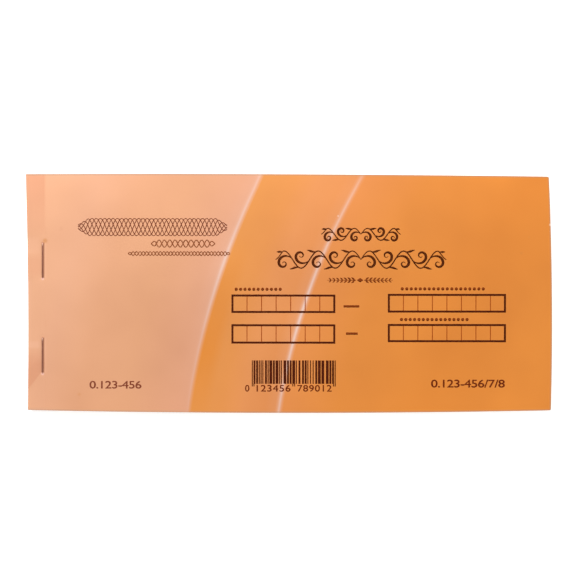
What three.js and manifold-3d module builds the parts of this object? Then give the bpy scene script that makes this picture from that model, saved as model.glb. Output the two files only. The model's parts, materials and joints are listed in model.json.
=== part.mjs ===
// A stapled cash receipt book: 25 sets of three carbonless copies between a creased cover and a greyboard back.
// Two wire staples go through every layer along the left edge and are clinched flush into the back. In each
// set the white and the yellow copy tear off at a perforation, and the pink copy stays in the book whole.
// Millimetres, +Z up. X runs from the bound edge to the free edge and Y up the page. The origin is on the
// underside of the back, at the middle of the page.
import * as THREE from "three";
import { mergeVertices } from "three/addons/utils/BufferGeometryUtils.js";
import Module from "manifold-3d";

// The page, trimmed square through all layers at once
const PAGE_LENGTH = 200;
const PAGE_HEIGHT = 90;
const BOUND_EDGE = -PAGE_LENGTH / 2;
const FREE_EDGE = PAGE_LENGTH / 2;

// The layers
const SET_COUNT = 25;
const SHEET = 0.07;
const AIR = 0.01; // between any two layers
const COVER_CARD = 0.2;
const GREYBOARD = 1;

// The cover's crease and the leaves' perforation, from the bound edge
const CREASE_INSET = 6.8;
const CREASE_GAP = 0.1;
const FOLD_CLEARANCE = 0.08; // over the staples, when the cover lies open on its strip
const PERFORATION_INSET = 10;
const CUT_WIDTH = 0.3; // the perforating blade's cuts, between the ties
const TIE_WIDTH = 0.8;
const TIE_BREAK = 0.02; // where a tie will tear, at its stub
const TIE_PITCH = 4;

// The staples
const WIRE = 0.5;
const CROWN = 13.9; // over the outside of both legs
const STAPLE_INSET = 5.8; // from the bound edge to the wire's middle
const UPPER_STAPLE_Y = 12.5;
const LOWER_STAPLE_Y = -23.8;
const BEND_INSIDE = 0.15;
const CLINCH = 4.6; // from a leg's outside to the end of its clinch
const WIRE_SEAT = 0.02; // between the wire and what it presses on
const WIRE_SIDES = 8;
const BEND_STEPS = 3;

// Heights, from the underside of the back up
const setPitch = 3 * (SHEET + AIR);
const stackBottom = GREYBOARD + AIR;
const coverBottom = stackBottom + SET_COUNT * setPitch;
const coverTop = coverBottom + COVER_CARD;
const creaseX = BOUND_EDGE + CREASE_INSET;
const perforationX = BOUND_EDGE + PERFORATION_INSET;

// The wire's path, and the holes and beds that follow it
const stapleX = BOUND_EDGE + STAPLE_INSET;
const legOffset = (CROWN - WIRE) / 2;
const bendRadius = BEND_INSIDE + WIRE / 2;
const crownZ = coverTop + WIRE_SEAT + WIRE / 2;
const clinchZ = WIRE_SEAT + WIRE / 2;
const holeRadius = WIRE / 2 + BEND_INSIDE; // as wide as the bend needs
const staplePlaces = [UPPER_STAPLE_Y, LOWER_STAPLE_Y];

// The line that the cover folds about lies halfway between its face when closed and when open
const foldZ = coverTop + (WIRE_SEAT + WIRE + FOLD_CLEARANCE) / 2;

const finish = {
  cover: new THREE.MeshStandardMaterial({ color: 0xf0a468, roughness: 0.45 }),
  white: new THREE.MeshStandardMaterial({ color: 0xf6f5f0, roughness: 0.9 }),
  yellow: new THREE.MeshStandardMaterial({ color: 0xf5e08a, roughness: 0.9 }),
  pink: new THREE.MeshStandardMaterial({ color: 0xf2b8c0, roughness: 0.9 }),
  set: new THREE.MeshStandardMaterial({ color: 0xf3e6b8, roughness: 0.9 }),
  board: new THREE.MeshStandardMaterial({ color: 0x9a948a, roughness: 0.95 }),
  steel: new THREE.MeshStandardMaterial({ color: 0xa8a29c, roughness: 0.35, metalness: 1 }),
};

const wasm = await Module();
wasm.setup();

// A closed geometry as a solid that can be cut
function solidOf(geometry) {
  const bare = geometry.clone();
  bare.deleteAttribute("normal");
  bare.deleteAttribute("uv");
  const merged = mergeVertices(bare, 1e-4);
  return new wasm.Manifold(
    new wasm.Mesh({
      numProp: 3,
      vertProperties: new Float32Array(merged.attributes.position.array),
      triVerts: new Uint32Array(merged.index.array),
    }),
  );
}

function geometryOf(solid) {
  const { vertProperties, triVerts } = solid.getMesh();
  const geometry = new THREE.BufferGeometry();
  geometry.setAttribute("position", new THREE.BufferAttribute(new Float32Array(vertProperties), 3));
  geometry.setIndex(new THREE.BufferAttribute(new Uint32Array(triVerts), 1));
  geometry.computeVertexNormals();
  return geometry;
}

// An outline seen from above, as a layer that stands on z = 0
function layerFrom(points, thickness) {
  const outline = new THREE.Shape(points.map(([x, y]) => new THREE.Vector2(x, y)));
  return new THREE.ExtrudeGeometry(outline, { depth: thickness, bevelEnabled: false });
}

function rectangle(left, right) {
  const half = PAGE_HEIGHT / 2;
  return [
    [left, -half],
    [right, -half],
    [right, half],
    [left, half],
  ];
}

// The four upright holes that the staple legs pierce, long enough for any layer
function legHoles() {
  const tall = 4 * (coverTop + WIRE);
  const drill = new THREE.CylinderGeometry(holeRadius, holeRadius, tall, WIRE_SIDES);
  drill.rotateX(Math.PI / 2);
  const holes = [];
  for (const y of staplePlaces) {
    for (const side of [-1, 1]) {
      holes.push(solidOf(drill.clone().translate(stapleX, y + side * legOffset, 0)));
    }
  }
  return holes;
}

const holes = legHoles();

function pierced(geometry) {
  return geometryOf(holes.reduce((layer, hole) => layer.subtract(hole), solidOf(geometry)));
}

// A leaf's outline: its left edge is cut back from the stub, but for ties that still reach it
function perforatedOutline() {
  const half = PAGE_HEIGHT / 2;
  const cut = perforationX + CUT_WIDTH;
  const reach = perforationX + TIE_BREAK;
  const ties = Math.floor((PAGE_HEIGHT - TIE_WIDTH) / TIE_PITCH);
  const first = -((ties - 1) * TIE_PITCH) / 2;
  const outline = [
    [cut, -half],
    [FREE_EDGE, -half],
    [FREE_EDGE, half],
    [cut, half],
  ];
  for (let i = ties - 1; i >= 0; i -= 1) {
    const y = first + i * TIE_PITCH;
    outline.push([cut, y + TIE_WIDTH / 2], [reach, y + TIE_WIDTH / 2]);
    outline.push([reach, y - TIE_WIDTH / 2], [cut, y - TIE_WIDTH / 2]);
  }
  return outline;
}

// The stubs of a lower set and its pink copy, which the staples press into one: an L seen from the side
function boundSet(stubHeight) {
  const side = new THREE.Shape();
  side.moveTo(BOUND_EDGE, 0);
  side.lineTo(FREE_EDGE, 0);
  side.lineTo(FREE_EDGE, SHEET);
  side.lineTo(perforationX, SHEET);
  side.lineTo(perforationX, stubHeight);
  side.lineTo(BOUND_EDGE, stubHeight);
  side.closePath();
  const body = new THREE.ExtrudeGeometry(side, { depth: PAGE_HEIGHT, bevelEnabled: false });
  body.rotateX(Math.PI / 2);
  body.translate(0, PAGE_HEIGHT / 2, 0);
  return pierced(body);
}

// The grey board, with a bed pressed into its underside for each clinched leg
function backBoard() {
  const bedDepth = clinchZ + bendRadius;
  let board = solidOf(layerFrom(rectangle(BOUND_EDGE, FREE_EDGE), GREYBOARD));
  for (const y of staplePlaces) {
    for (const side of [-1, 1]) {
      board = board.subtract(solidOf(clinchBed(y, side, bedDepth)));
    }
  }
  return geometryOf(holes.reduce((rest, hole) => rest.subtract(hole), board));
}

function clinchBed(stapleY, side, depth) {
  const outer = stapleY + side * legOffset;
  const inner = stapleY + side * (CROWN / 2 - CLINCH);
  const bed = new THREE.Shape();
  bed.absarc(stapleX, Math.max(outer, inner), holeRadius, 0, Math.PI);
  bed.absarc(stapleX, Math.min(outer, inner), holeRadius, Math.PI, 2 * Math.PI);
  bed.closePath();
  // it starts below the board, so that it cuts the underside open
  const geometry = new THREE.ExtrudeGeometry(bed, {
    depth: 2 * depth,
    bevelEnabled: false,
    curveSegments: WIRE_SIDES / 4,
  });
  return geometry.translate(0, 0, -depth);
}

// A wire's path through given points, with one ring at each, square to the corner's bisector
class WirePath extends THREE.Curve {
  constructor(points) {
    super();
    this.points = points;
  }

  getPoint(t, target = new THREE.Vector3()) {
    const along = t * (this.points.length - 1);
    const i = Math.min(Math.floor(along), this.points.length - 2);
    return target.lerpVectors(this.points[i], this.points[i + 1], along - i);
  }

  getPointAt(u, target) {
    return this.getPoint(u, target);
  }

  getTangentAt(u, target = new THREE.Vector3()) {
    const last = this.points.length - 1;
    const i = Math.round(u * last);
    const before = this.points[Math.max(i - 1, 0)];
    const here = this.points[i];
    const after = this.points[Math.min(i + 1, last)];
    const arriving = here.clone().sub(before).normalize();
    const leaving = after.clone().sub(here).normalize();
    return target.addVectors(arriving, leaving).normalize();
  }
}

// Half a staple's middle line, from the end of its clinch round both bends to the crown's middle
function halfStaple() {
  const points = [new THREE.Vector3(0, CROWN / 2 - CLINCH, clinchZ)];
  const bends = [
    { z: clinchZ + bendRadius, from: -Math.PI / 2, to: 0 },
    { z: crownZ - bendRadius, from: 0, to: Math.PI / 2 },
  ];
  for (const { z, from, to } of bends) {
    for (let i = 0; i <= BEND_STEPS; i += 1) {
      const angle = from + ((to - from) * i) / BEND_STEPS;
      const y = legOffset - bendRadius + bendRadius * Math.cos(angle);
      points.push(new THREE.Vector3(0, y, z + bendRadius * Math.sin(angle)));
    }
  }
  return points;
}

function staple() {
  const half = halfStaple();
  const other = half.map((p) => new THREE.Vector3(p.x, -p.y, p.z)).reverse();
  const path = new WirePath([...half, ...other]);
  const section = new THREE.Shape();
  section.absarc(0, 0, WIRE / 2, 0, 2 * Math.PI);
  return new THREE.ExtrudeGeometry(section, {
    extrudePath: path,
    steps: path.points.length - 1,
    curveSegments: WIRE_SIDES / 2,
    bevelEnabled: false,
  });
}

function add(group, name, geometry, material, z = 0, y = 0) {
  const mesh = new THREE.Mesh(geometry, material);
  mesh.name = name;
  mesh.position.set(0, y, z);
  group.add(mesh);
}

// The first set, sheet by sheet
function firstSet(group, z) {
  const step = SHEET + AIR;
  const sheet = layerFrom(rectangle(BOUND_EDGE, FREE_EDGE), SHEET);
  const stub = pierced(layerFrom(rectangle(BOUND_EDGE, perforationX), SHEET));
  const leaf = layerFrom(perforatedOutline(), SHEET);
  add(group, "pink_copy_01", pierced(sheet), finish.pink, z);
  add(group, "yellow_stub_01", stub, finish.yellow, z + step);
  add(group, "yellow_leaf_01", leaf, finish.yellow, z + step);
  add(group, "white_stub_01", stub, finish.white, z + 2 * step);
  add(group, "white_leaf_01", leaf, finish.white, z + 2 * step);
}

// The sets below it: the white and the yellow leaf as one layer, and what stays bound as another
function lowerSets(group) {
  const stubHeight = setPitch - AIR;
  const leaves = layerFrom(perforatedOutline(), stubHeight - SHEET - AIR);
  const bound = boundSet(stubHeight);
  for (let number = 2; number <= SET_COUNT; number += 1) {
    const z = stackBottom + (SET_COUNT - number) * setPitch;
    const label = String(number).padStart(2, "0");
    add(group, `bound_set_${label}`, bound, finish.pink, z);
    add(group, `leaves_${label}`, leaves, finish.set, z + SHEET + AIR);
  }
}

// The cover is one card, creased beside the staples. Turning the fold group about -Y opens its leaf.
function cover(group) {
  const strip = layerFrom(rectangle(BOUND_EDGE, creaseX - CREASE_GAP / 2), COVER_CARD);
  add(group, "cover_strip", pierced(strip), finish.cover, coverBottom);
  const fold = new THREE.Group();
  fold.position.set(creaseX, 0, foldZ);
  const leaf = layerFrom(rectangle(CREASE_GAP / 2, FREE_EDGE - creaseX), COVER_CARD);
  add(fold, "cover_leaf", leaf, finish.cover, coverBottom - foldZ);
  group.add(fold);
}

const book = new THREE.Group();
book.name = "cash_receipt_book";
add(book, "back_board", backBoard(), finish.board);
lowerSets(book);
firstSet(book, stackBottom + (SET_COUNT - 1) * setPitch);
cover(book);
const wire = staple();
wire.translate(stapleX, 0, 0);
add(book, "upper_staple", wire, finish.steel, 0, UPPER_STAPLE_Y);
add(book, "lower_staple", wire, finish.steel, 0, LOWER_STAPLE_Y);

export default book;
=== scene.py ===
# %% [markdown]
# # Dressing a cash receipt book
#
# The measured model of this landscape receipt book is already there: a creased cover, 25 sets of three
# carbonless sheets, a grey board at the back and two wire staples. This notebook gives each of those pieces
# its fine surface. The book lies on its back, X runs from the stapled edge to the free edge, Y up the page
# and Z out of the cover. The measured model is loaded first, as a frame that nothing here moves.

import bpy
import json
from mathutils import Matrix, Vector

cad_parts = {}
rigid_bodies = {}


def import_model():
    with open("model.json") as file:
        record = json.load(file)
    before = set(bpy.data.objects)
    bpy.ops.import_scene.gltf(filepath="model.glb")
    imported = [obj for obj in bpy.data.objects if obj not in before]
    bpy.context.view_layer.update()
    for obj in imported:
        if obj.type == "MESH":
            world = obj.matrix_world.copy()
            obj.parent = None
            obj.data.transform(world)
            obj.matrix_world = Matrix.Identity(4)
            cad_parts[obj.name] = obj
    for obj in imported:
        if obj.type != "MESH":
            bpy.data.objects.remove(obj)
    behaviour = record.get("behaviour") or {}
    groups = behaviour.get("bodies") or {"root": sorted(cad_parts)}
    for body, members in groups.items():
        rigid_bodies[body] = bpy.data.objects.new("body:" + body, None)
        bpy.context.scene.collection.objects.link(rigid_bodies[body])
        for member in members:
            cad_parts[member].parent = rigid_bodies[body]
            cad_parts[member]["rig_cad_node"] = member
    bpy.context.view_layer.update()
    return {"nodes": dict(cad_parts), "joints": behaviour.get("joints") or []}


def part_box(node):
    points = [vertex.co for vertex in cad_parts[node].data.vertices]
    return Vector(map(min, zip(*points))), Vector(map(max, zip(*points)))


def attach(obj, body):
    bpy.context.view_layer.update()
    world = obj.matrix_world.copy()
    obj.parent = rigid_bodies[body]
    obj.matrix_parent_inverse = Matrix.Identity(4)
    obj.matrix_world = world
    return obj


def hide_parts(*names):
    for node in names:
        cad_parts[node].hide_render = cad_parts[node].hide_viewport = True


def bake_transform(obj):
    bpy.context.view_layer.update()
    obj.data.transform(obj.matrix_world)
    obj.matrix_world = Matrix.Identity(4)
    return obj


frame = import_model()

# %% [markdown]
# ## Sizes that every piece shares
#
# Paper is thin, so lengths are written in millimetres and turned to metres where a mesh is made. Places
# come from the measured model wherever it holds them: the page's edges, the crease that the cover turns
# about, the cover's printed face, and the staples.

# %% Sizes from the frame
import json
import math
import random

import bpy
import numpy as np

MM = 0.001


def measured(node):
    """A measured node's lowest and highest corner, in millimetres."""
    low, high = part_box(node)
    return [value / MM for value in low], [value / MM for value in high]


leaf_low, leaf_high = measured("cover_leaf")
crown_low, crown_high = measured("upper_staple")
LEFT, RIGHT = measured("cover_strip")[0][0], leaf_high[0]
BOTTOM, TOP = leaf_low[1], leaf_high[1]
FACE = leaf_high[2]
COVER_CARD = FACE - leaf_low[2]
BOARD_TOP = measured("back_board")[1][2]
WIRE = crown_high[0] - crown_low[0]
STAPLE_X = (crown_low[0] + crown_high[0]) / 2
PERFORATION = measured("white_stub_01")[1][0]
CREASE = next(j["pos_m"][0] for j in frame["joints"] if j["name"] == "cover_hinge") / MM
SET_COUNT = 25
SHEET = 0.07
print("page:", round(RIGHT - LEFT, 2), "by", round(TOP - BOTTOM, 2), "mm, face at", round(FACE, 3))

# %% [markdown]
# ## The camera
#
# The picture is taken from straight above, with a long lens, so that the book's sides stay hidden behind
# the cover. A 100 mm lens 61 cm away makes the cover fill nine tenths of the width. The camera stands a
# little off the page's middle and is turned by a twentieth of a degree, as a hand-held one is.

# %% Camera
# Its place and lens are in millimetres, its turn in degrees, and what it sees from and to in metres
CAMERA_PLACE = (-0.42, 1.99, 618.5)
CAMERA_TURN = 0.05
LENS, SENSOR_WIDTH = 100, 36
SEES_FROM, SEES_TO = 0.05, 20

bpy.ops.object.camera_add(location=[value * MM for value in CAMERA_PLACE])
camera = bpy.context.object
camera.rotation_euler = (0, 0, math.radians(CAMERA_TURN))
camera.data.lens = LENS
camera.data.sensor_width = SENSOR_WIDTH
camera.data.clip_start = SEES_FROM
camera.data.clip_end = SEES_TO
bpy.context.scene.camera = camera
bpy.context.scene.view_settings.view_transform = "Standard"

# %% [markdown]
# ## Floor and light
#
# A pale floor under a bright, even sky gives paper its soft look with no hard shadow. One large lamp at the
# upper left makes the light fall off down the page, and a weak one on the other side keeps the staples' far
# side readable. Nothing bright hangs right above the book, because satin card would mirror it into the
# camera. The floor is so wide that a low view from the side doesn't show its end.

# %% Floor, sky and lamps
# Places and sizes are in metres here, and the lamps' power in watts
SKY_STRENGTH = 0.55
KEY_PLACE, KEY_SIZE, KEY_POWER = (-0.10, 0.31, 0.44), 0.36, 2.25
FILL_PLACE, FILL_SIZE, FILL_POWER = (0.75, -0.20, 0.65), 0.6, 1.0
FLOOR_SIZE = 60


def aim_lamp(name, place, size, power):
    """A square lamp that looks at the middle of the book."""
    bpy.ops.object.light_add(type="AREA", location=place)
    lamp = bpy.context.object
    lamp.name = name
    lamp.data.size = size
    lamp.data.energy = power
    away = -lamp.location
    lamp.rotation_euler = away.to_track_quat("-Z", "Y").to_euler()


aim_lamp("key_lamp", KEY_PLACE, KEY_SIZE, KEY_POWER)
aim_lamp("fill_lamp", FILL_PLACE, FILL_SIZE, FILL_POWER)

sky = bpy.data.worlds.new("even_sky")
sky.use_nodes = True
sky.node_tree.nodes["Background"].inputs["Color"].default_value = (1, 1, 1, 1)
sky.node_tree.nodes["Background"].inputs["Strength"].default_value = SKY_STRENGTH
bpy.context.scene.world = sky

bpy.ops.mesh.primitive_plane_add(size=FLOOR_SIZE)
floor = bpy.context.object
floor.name = "floor"

# %% [markdown]
# ## Small tools for shaping
#
# Every sheet here is a flat grid whose lines lie where the sheet needs them: crowded at a crease or a
# perforation, and far apart where the paper is plain. Faces are picked by their place, and what isn't paper
# is deleted, as one would do by hand in edit mode.


# %% Selecting and deleting
def select_only(*pieces):
    """Leave just these selected, with the first one active."""
    bpy.ops.object.select_all(action="DESELECT")
    for piece in pieces:
        piece.select_set(True)
    bpy.context.view_layer.objects.active = pieces[0]


def delete_faces(piece, unwanted):
    """Delete the faces whose middle, in millimetres, passes the test."""
    select_only(piece)
    bpy.ops.object.mode_set(mode="EDIT")
    bpy.ops.mesh.select_mode(type="FACE")
    bpy.ops.mesh.select_all(action="DESELECT")
    bpy.ops.object.mode_set(mode="OBJECT")
    for face in piece.data.polygons:
        face.select = bool(unwanted(face.center / MM))
    bpy.ops.object.mode_set(mode="EDIT")
    bpy.ops.mesh.delete(type="FACE")
    bpy.ops.object.mode_set(mode="OBJECT")


# %% Reading and moving vertices
def spots_of(piece):
    """The places of a piece's vertices, in millimetres."""
    spots = np.empty(len(piece.data.vertices) * 3, np.float32)
    piece.data.vertices.foreach_get("co", spots)
    return spots.reshape(-1, 3).astype(float) / MM


def put_spots(piece, spots):
    piece.data.vertices.foreach_set("co", (spots * MM).astype(np.float32).ravel())
    piece.data.update()


def shift(piece, x=0.0, y=0.0, z=0.0):
    put_spots(piece, spots_of(piece) + np.array([x, y, z]))


# %% A grid with its lines where they are needed
ROUNDING = 1e-6


def grid_lines(start, *stretches):
    """Lines from the start to the end of each stretch in turn, no further apart than its step."""
    lines = [start]
    for end, step in stretches:
        count = max(1, math.ceil((end - start) / step - ROUNDING))
        lines += [start + (end - start) * i / count for i in range(1, count + 1)]
        start = end
    return lines


def ruled_grid(name, columns, rows):
    """A flat grid at z = 0 with its lines at these x and y, in millimetres."""
    bpy.ops.object.select_all(action="DESELECT")
    bpy.ops.mesh.primitive_grid_add(x_subdivisions=len(columns) - 1, y_subdivisions=len(rows) - 1, size=1)
    piece = bpy.context.object
    piece.name = piece.data.name = name
    unit = spots_of(piece) * MM + 0.5
    spots = np.zeros_like(unit)
    spots[:, 0] = np.interp(unit[:, 0], np.linspace(0, 1, len(columns)), columns)
    spots[:, 1] = np.interp(unit[:, 1], np.linspace(0, 1, len(rows)), rows)
    put_spots(piece, spots)
    return piece


def thicken(piece, thickness, offset=1, inner_slot=0):
    """Give a surface its wall. Offset 1 grows it upwards from the surface, and -1 downwards."""
    select_only(piece)
    bpy.ops.object.modifier_add(type="SOLIDIFY")
    wall = piece.modifiers[-1]
    wall.thickness = thickness * MM
    wall.offset = offset
    wall.material_offset = inner_slot
    wall.material_offset_rim = inner_slot
    bpy.ops.object.modifier_apply(modifier=wall.name)


def copy_of(piece, name):
    """A copy with a mesh of its own."""
    select_only(piece)
    bpy.ops.object.duplicate()
    twin = bpy.context.object
    twin.name = twin.data.name = name
    return twin


# %% [markdown]
# ## How a real pad departs from the drawing
#
# A pad is never the square block of its drawing. The knife that trims all layers at once strays by some
# tenths of a millimetre, so each edge has a slight slant and bow. The staples press the bound edge
# together, and the sheets rise a little away from them. Both are written as functions, so that every sheet,
# the board, the cover and the print on it follow the same shape.


# %% The knife's cut
# For each edge: how far it lies off at its middle, its slant and its bow
KNIFE = {
    "left": (0.30, -0.40, -0.50),
    "right": (0.35, -0.43, -0.78),
    "top": (0.45, -0.40, -0.42),
    "bottom": (-0.69, 0.04, 1.00),
}
KNIFE_REACH = 5.0


def trim(piece):
    """Move what lies near an edge of the page as the knife cut it."""
    spots = spots_of(piece)
    x, y = spots[:, 0].copy(), spots[:, 1].copy()
    along_x = 2 * (x - LEFT) / (RIGHT - LEFT) - 1
    along_y = 2 * (y - BOTTOM) / (TOP - BOTTOM) - 1
    for edge, (middle, slant, bow) in KNIFE.items():
        upright = edge in ("left", "right")
        along = along_y if upright else along_x
        here = x if upright else y
        line = {"left": LEFT, "right": RIGHT, "top": TOP, "bottom": BOTTOM}[edge]
        near = np.clip(1 - np.abs(here - line) / KNIFE_REACH, 0, 1)
        spots[:, 0 if upright else 1] += near * (middle + slant * along + bow * along**2)
    put_spots(piece, spots)


# %% The rise of the sheets away from the staples
# The press falls off from the edge by this power, and the rise starts and ends this far past the crease
EDGE_PRESS, PRESS_POWER = 0.16, 1.5
RISE, RISE_START, RISE_END = 0.40, 0.6, 42.0


def smooth(value, start, end):
    """0 before the start and 1 past the end, with a soft step between them."""
    t = np.clip((value - start) / (end - start), 0, 1)
    return t * t * (3 - 2 * t)


def rise(x):
    """How far the cover lies above its drawn height at this x. The sheets below share it out."""
    pressed = np.clip((STAPLE_X - x) / (STAPLE_X - LEFT), 0, 1) ** PRESS_POWER
    return RISE * smooth(x, CREASE + RISE_START, CREASE + RISE_END) - EDGE_PRESS * pressed


def settle(piece):
    """Let a sheet of the pad follow the rise, by its share of the pad's height."""
    spots = spots_of(piece)
    share = (spots[:, 2] - BOARD_TOP) / (FACE - BOARD_TOP)
    spots[:, 2] += share * rise(spots[:, 0])
    put_spots(piece, spots)


# %% [markdown]
# ## Colours and nodes
#
# Colours are written as the sRGB hex values that one reads off a picture, and Blender's sockets hold linear
# light, so one function turns them. One more adds a node with its settings and links, which keeps each
# material short enough to read as a recipe. Patterns are sized in millimetres on the piece itself.


# %% Helpers for materials
def colour(code):
    """An sRGB hex value as linear red, green, blue and alpha."""
    channels = [int(code[i : i + 2], 16) / 255 for i in (0, 2, 4)]
    return [c / 12.92 if c <= 0.04045 else ((c + 0.055) / 1.055) ** 2.4 for c in channels] + [1.0]


def add_node(tree, kind, inputs=None, stops=(), **settings):
    """Add a node, set it up, and feed its inputs with numbers or outputs. Stops come in rising order."""
    node = tree.nodes.new("ShaderNode" + kind)
    for name, value in settings.items():
        setattr(node, name, value)
    for socket, value in (inputs or {}).items():
        if isinstance(value, bpy.types.NodeSocket):
            tree.links.new(value, node.inputs[socket])
        else:
            node.inputs[socket].default_value = value
    for i, (place, shade) in enumerate(stops):
        elements = node.color_ramp.elements
        element = elements[i] if i < 2 else elements.new(place)
        element.position = place
        element.color = colour(shade)
    return node


def new_material(name):
    material = bpy.data.materials.new(name)
    material.use_nodes = True
    return material, material.node_tree, material.node_tree.nodes["Principled BSDF"]


def own_millimetres(tree):
    """A piece's own coordinates, in millimetres."""
    place = add_node(tree, "TexCoord")
    inputs = {"Vector": place.outputs["Object"], "Scale": (1 / MM, 1 / MM, 1 / MM)}
    return add_node(tree, "Mapping", inputs).outputs[0]


# %% [markdown]
# ### The floor
#
# Background paper: matt, slightly warm white, with no pattern of its own that could draw the eye. It glows
# a little for the camera alone, as on a light table, so that hardly a shadow shows, and lends the book no
# light.

# %% Background paper
FLOOR_GLOW = 0.56

background_paper, tree, surface = new_material("background_paper")
surface.inputs["Base Color"].default_value = colour("F4F4F3")
surface.inputs["Roughness"].default_value = 0.9
surface.inputs["Emission Color"].default_value = colour("FFFFFF")
seen = add_node(tree, "LightPath").outputs["Is Camera Ray"]
glow = add_node(tree, "Math", {0: seen, 1: FLOOR_GLOW}, operation="MULTIPLY")
tree.links.new(glow.outputs[0], surface.inputs["Emission Strength"])
floor.data.materials.append(background_paper)

# %% [markdown]
# ### Carbonless copy paper
#
# Matt paper with an uncoated look, in the usual white, yellow and pink. Its fibres lie in faint clouds some
# millimetres wide, and their finer roughness takes the gloss off. A real fibre is about a tenth as wide as
# the ones drawn here, which are as coarse as they need to be to show. All three colours share one recipe.


# %% Carbonless paper
CLOUD_SIZE = 6.0
FIBRE_WIDTH = 0.25
GRAIN_DEPTH = 0.02


def paper_tone(tree, in_mm, light, dark):
    """Faint clouds between two shades of paper."""
    cloud = add_node(tree, "TexNoise", {"Vector": in_mm, "Scale": 1 / CLOUD_SIZE, "Detail": 4.0})
    stops = [(0.35, dark), (0.65, light)]
    return add_node(tree, "ValToRGB", {"Fac": cloud.outputs["Fac"]}, stops=stops).outputs["Color"]


def carbonless_paper(name, light, dark):
    material, tree, surface = new_material(name)
    in_mm = own_millimetres(tree)
    fibre = add_node(tree, "TexNoise", {"Vector": in_mm, "Scale": 1 / FIBRE_WIDTH, "Detail": 2.0})
    grain = {"Height": fibre.outputs["Fac"], "Strength": 0.15, "Distance": GRAIN_DEPTH * MM}
    relief = add_node(tree, "Bump", grain)
    tree.links.new(paper_tone(tree, in_mm, light, dark), surface.inputs["Base Color"])
    tree.links.new(relief.outputs["Normal"], surface.inputs["Normal"])
    surface.inputs["Roughness"].default_value = 0.85
    return material


white_paper = carbonless_paper("white_carbonless_paper", "EAE9E4", "E7E6E1")
yellow_paper = carbonless_paper("yellow_carbonless_paper", "EEDC84", "EBD87E")
pink_paper = carbonless_paper("pink_carbonless_paper", "ECB3BB", "E9AEB6")

# %% [markdown]
# ## The sheets
#
# Each set holds a white and a yellow sheet that tear off at a perforation, the margin of each that stays
# under the staples, and a pink sheet that stays whole. The three kinds are modelled once, flat, and copied
# up through the pad. The perforation is a row of fine cuts with paper left between them: in the grid, the
# first column of faces is kept only at these ties.

# %% Model one sheet of each kind
CUT_WIDTH = 0.3
TIE_WIDTH = 0.5
TIE_PITCH = 2.0
TIE_BREAK = 0.02

tie_count = int((TOP - BOTTOM - TIE_WIDTH) // TIE_PITCH)
first_tie = (BOTTOM + TOP) / 2 - (tie_count - 1) * TIE_PITCH / 2
tie_rows = [BOTTOM]
for i in range(tie_count):
    tie_rows += [first_tie + i * TIE_PITCH - TIE_WIDTH / 2, first_tie + i * TIE_PITCH + TIE_WIDTH / 2]
tie_rows.append(TOP)

# Lines stand closer together where the sheets rise beside the staples than on the flat page
page_columns = [-85.0, -80.0, -74.0, -68.0, -60.0, -50.0, -20.0, 20.0, 60.0, RIGHT - KNIFE_REACH, RIGHT]
margin_columns = [LEFT, -98.0, -96.0, STAPLE_X, CREASE, PERFORATION]
page_rows = [BOTTOM, BOTTOM + KNIFE_REACH, -20.0, 0.0, 20.0, TOP - KNIFE_REACH, TOP]


def between_ties(middle):
    """True for a face of the perforation's column that the blade cut away."""
    from_tie = (middle[1] - first_tie + TIE_PITCH / 2) % TIE_PITCH - TIE_PITCH / 2
    return middle[0] < PERFORATION + CUT_WIDTH and abs(from_tie) > TIE_WIDTH / 2


leaf_columns = [PERFORATION + TIE_BREAK, PERFORATION + CUT_WIDTH] + page_columns
tear_off_sheet = ruled_grid("tear_off_sheet", leaf_columns, tie_rows)
delete_faces(tear_off_sheet, between_ties)
margin_sheet = ruled_grid("margin_sheet", margin_columns, page_rows)
whole_sheet = ruled_grid("whole_sheet", margin_columns + page_columns, page_rows)
patterns = (tear_off_sheet, margin_sheet, whole_sheet)
for pattern in patterns:
    thicken(pattern, SHEET)
    trim(pattern)
    print(pattern.name, len(pattern.data.polygons), "faces")

# %% [markdown]
# Copies of one sheet would make sides as smooth as a planed block. On a real pad every sheet lies some
# hundredths of a millimetre off its neighbours, which is what draws the fine lines along the sides. A
# seeded random shift does that, the same on each run.

# %% Lay the sheets
SHEET_SHIFT = 0.05
chance = random.Random(25)


def lay_sheet(pattern, name, paper, height, body, node):
    """Copy a sheet to its height in the pad, in a measured node's place, and let it settle there."""
    sheet = copy_of(pattern, name)
    sheet.data.materials.append(paper)
    shift(sheet, chance.uniform(0, SHEET_SHIFT), chance.uniform(-SHEET_SHIFT, SHEET_SHIFT), height)
    settle(sheet)
    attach(sheet, body)
    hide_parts(node)


STEP = measured("yellow_leaf_01")[0][2] - measured("pink_copy_01")[0][2]
white_leaves = {}
for number in range(1, SET_COUNT + 1):
    label = f"{number:02d}"
    top_set = number == 1
    bound = "pink_copy_01" if top_set else "bound_set_" + label
    base = measured(bound)[0][2]
    lay_sheet(whole_sheet, "pink_sheet_" + label, pink_paper, base, "block", bound)
    for step, kind, paper in ((1, "yellow", yellow_paper), (2, "white", white_paper)):
        height = base + step * STEP
        stub = f"{kind}_stub_01" if top_set else bound
        leaf = f"{kind}_leaf_01" if top_set else "leaves_" + label
        body = f"{kind}_01" if top_set else "set_" + label
        lay_sheet(margin_sheet, f"{kind}_margin_{label}", paper, height, "block", stub)
        lay_sheet(tear_off_sheet, f"{kind}_sheet_{label}", paper, height, body, leaf)
        if kind == "white":
            white_leaves[label] = (height, body)

for pattern in patterns:
    bpy.data.objects.remove(pattern)
print("sheets laid:", 5 * SET_COUNT)

# %% [markdown]
# ## The cover's shape
#
# The cover is one sheet of card. It is pressed down along the staples, puckers up between them, is creased
# beside them, and its loose strip at the bound edge curls up in patches. Its leaf lies in two faint waves
# of different lengths. One function gives its height at any place. The print uses the same function later,
# so it lies on the card everywhere.

# %% The cover's height
crowns = [measured(name) for name in ("upper_staple", "lower_staple")]
crown_spans = [(low[1], high[1]) for low, high in crowns]
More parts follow.
